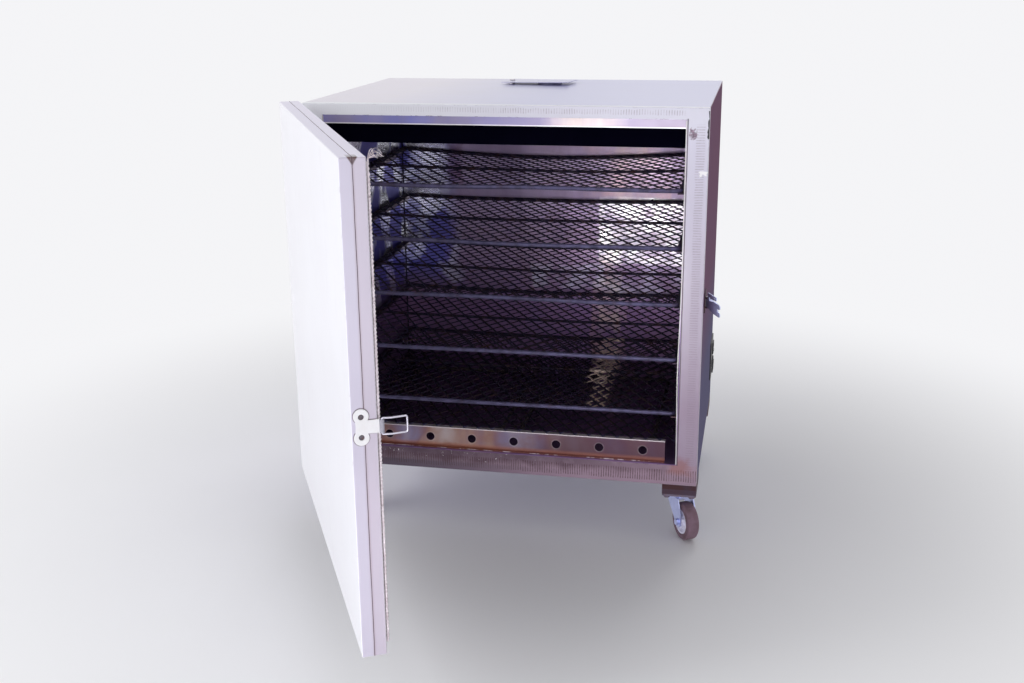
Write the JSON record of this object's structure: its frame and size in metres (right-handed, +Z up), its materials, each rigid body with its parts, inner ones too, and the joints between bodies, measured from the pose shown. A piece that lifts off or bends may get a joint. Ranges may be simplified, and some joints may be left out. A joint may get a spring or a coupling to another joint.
{
  "type": "cabinet drying oven",
  "caption": "Upright cabinet oven on swivel casters: side-hung door with wire latch, sliding mesh shelves, heater space behind a holed guard, and a top vent.",
  "frame": {"origin": "on the floor, under the middle of the cabinet", "axes": "+X to the right of someone facing the oven, +Y from the front to the back, +Z up"},
  "size_m": [0.8254, 1.2978, 0.8521],
  "materials": {
    "cabinet_paint": "semi-gloss cream enamel",
    "door_paint": "semi-gloss cream enamel",
    "chamber_steel": "bright rolled stainless, heat stained",
    "baffle_black": "heat-blackened",
    "shelf_steel": "heat-browned expanded steel",
    "runner_steel": "stainless, heat stained",
    "guard_steel": "heat-tinted stainless",
    "insulation": "mineral wool",
    "gasket": "braided glass rope",
    "element_sheath": "dull oxidised",
    "ceramic": "unglazed ceramic",
    "black_plastic": "matt",
    "rocker_plastic": "glossy",
    "control_plate": "black enamel",
    "hinge_steel": "bright zinc",
    "latch_zinc": "bright zinc",
    "wire_steel": "polished",
    "screw_zinc": "zinc",
    "bracket_steel": "thin grey paint over rust",
    "caster_zinc": "blue-white zinc",
    "hub_plastic": "satin grey",
    "tyre_rubber": "matt grey-brown"
  },
  "bodies": {
    "cabinet": {"front_frame": "cabinet_paint", "casing_top": "cabinet_paint", "casing_left_side": "cabinet_paint", "casing_right_side": "cabinet_paint", "casing_back": "cabinet_paint", "casing_bottom": "cabinet_paint", "casing_screws": "screw_zinc", "header_strip": "chamber_steel", "chamber_floor": "chamber_steel", "chamber_ceiling": "chamber_steel", "chamber_left_wall": "chamber_steel", "chamber_right_wall": "chamber_steel", "chamber_back_wall": "chamber_steel", "cabinet_insulation": "insulation", "ceiling_baffle": "baffle_black", "shelf_runners_left": "runner_steel", "shelf_runners_right": "runner_steel", "heater_guard_strip": "guard_steel", "heater_guard_net": "shelf_steel", "heating_elements": "element_sheath", "terminal_block": "ceramic", "terminal_cover": "cabinet_paint", "cable_gland": "black_plastic", "control_plate": "control_plate", "thermostat_body": "black_plastic", "sensor_bulb": "hinge_steel", "switch_body": "black_plastic", "hinge_leaves_cabinet": "hinge_steel", "hinge_pins": "hinge_steel", "lever_bracket": "bracket_steel", "vent_collar": "cabinet_paint", "vent_pivot": "screw_zinc", "caster_brackets": "bracket_steel", "caster_plates": "caster_zinc"},
    "door": {"door_outer_pan": "door_paint", "door_inner_pan": "door_paint", "door_insulation": "insulation", "door_gasket": "gasket", "hinge_leaves_door": "hinge_steel", "latch_plate": "door_paint", "door_screws": "screw_zinc"},
    "bail": {"latch_bail": "wire_steel"},
    "lever": {"latch_lever": "latch_zinc"},
    "vent_cover": {"vent_plate": "cabinet_paint"},
    "temperature_knob": {"thermostat_knob": "black_plastic"},
    "power_rocker": {"switch_rocker": "rocker_plastic"},
    "shelf_1": {"shelf_1": "shelf_steel"},
    "shelf_2": {"shelf_2": "shelf_steel"},
    "shelf_3": {"shelf_3": "shelf_steel"},
    "shelf_4": {"shelf_4": "shelf_steel"},
    "shelf_5": {"shelf_5": "shelf_steel"},
    "fork_front_right": {"fork_front_right": "caster_zinc"},
    "wheel_front_right": {"wheel_front_right": "tyre_rubber"},
    "fork_front_left": {"fork_front_left": "caster_zinc"},
    "wheel_front_left": {"wheel_front_left": "tyre_rubber"},
    "fork_back_right": {"fork_back_right": "caster_zinc"},
    "wheel_back_right": {"wheel_back_right": "tyre_rubber"},
    "fork_back_left": {"fork_back_left": "caster_zinc"},
    "wheel_back_left": {"wheel_back_left": "tyre_rubber"}
  },
  "joints": [
    {"name": "door_hinge", "type": "hinge", "parent": "cabinet", "child": "door", "pos_m": [-0.385, -0.29, 0.483], "axis": [0, 0, -1], "range_deg": [-62.6, 112]},
    {"name": "bail_hinge", "type": "hinge", "parent": "door", "child": "bail", "pos_m": [-0.02356, -0.96882, 0.476], "axis": [0, 0, 1], "range_deg": [-120, 60]},
    {"name": "lever_hinge", "type": "hinge", "parent": "cabinet", "child": "lever", "pos_m": [0.387, -0.229, 0.476], "axis": [0, 0, -1], "range_deg": [-155, 10]},
    {"name": "vent_plate_pivot", "type": "hinge", "parent": "cabinet", "child": "vent_cover", "pos_m": [-0.068, 0.176, 0.849], "axis": [0, 0, -1], "range_deg": [0, 90]},
    {"name": "temperature_turn", "type": "hinge", "parent": "cabinet", "child": "temperature_knob", "pos_m": [0.38, 0.227, 0.21], "axis": [1, 0, 0], "range_deg": [0, 300]},
    {"name": "power_rock", "type": "hinge", "parent": "cabinet", "child": "power_rocker", "pos_m": [0.38, 0.227, 0.251], "axis": [0, 1, 0], "range_deg": [0, 16]},
    {"name": "shelf_1_slide", "type": "slide", "parent": "cabinet", "child": "shelf_1", "axis": [0, -1, 0], "range_m": [0, 0.09]},
    {"name": "shelf_2_slide", "type": "slide", "parent": "cabinet", "child": "shelf_2", "axis": [0, -1, 0], "range_m": [0, 0.09]},
    {"name": "shelf_3_slide", "type": "slide", "parent": "cabinet", "child": "shelf_3", "axis": [0, -1, 0], "range_m": [0, 0.09]},
    {"name": "shelf_4_slide", "type": "slide", "parent": "cabinet", "child": "shelf_4", "axis": [0, -1, 0], "range_m": [0, 0.09]},
    {"name": "shelf_5_slide", "type": "slide", "parent": "cabinet", "child": "shelf_5", "axis": [0, -1, 0], "range_m": [0, 0.09]},
    {"name": "swivel_front_right", "type": "hinge", "parent": "cabinet", "child": "fork_front_right", "pos_m": [0.347, -0.231, 0.08], "axis": [0, 0, 1], "continuous": true},
    {"name": "roll_front_right", "type": "hinge", "parent": "fork_front_right", "child": "wheel_front_right", "pos_m": [0.361, -0.25525, 0.0375], "axis": [0.866, 0.5, 0], "continuous": true},
    {"name": "swivel_front_left", "type": "hinge", "parent": "cabinet", "child": "fork_front_left", "pos_m": [-0.347, -0.231, 0.08], "axis": [0, 0, 1], "continuous": true},
    {"name": "roll_front_left", "type": "hinge", "parent": "fork_front_left", "child": "wheel_front_left", "pos_m": [-0.35377, -0.25817, 0.0375], "axis": [0.9703, -0.2419, 0], "continuous": true},
    {"name": "swivel_back_right", "type": "hinge", "parent": "cabinet", "child": "fork_back_right", "pos_m": [0.347, 0.231, 0.08], "axis": [0, 0, 1], "continuous": true},
    {"name": "roll_back_right", "type": "hinge", "parent": "fork_back_right", "child": "wheel_back_right", "pos_m": [0.33742, 0.20469, 0.0375], "axis": [0.9397, -0.342, 0], "continuous": true},
    {"name": "swivel_back_left", "type": "hinge", "parent": "cabinet", "child": "fork_back_left", "pos_m": [-0.347, 0.231, 0.08], "axis": [0, 0, 1], "continuous": true},
    {"name": "roll_back_left", "type": "hinge", "parent": "fork_back_left", "child": "wheel_back_left", "pos_m": [-0.34118, 0.20361, 0.0375], "axis": [0.9781, 0.2079, 0], "continuous": true}
  ]
}
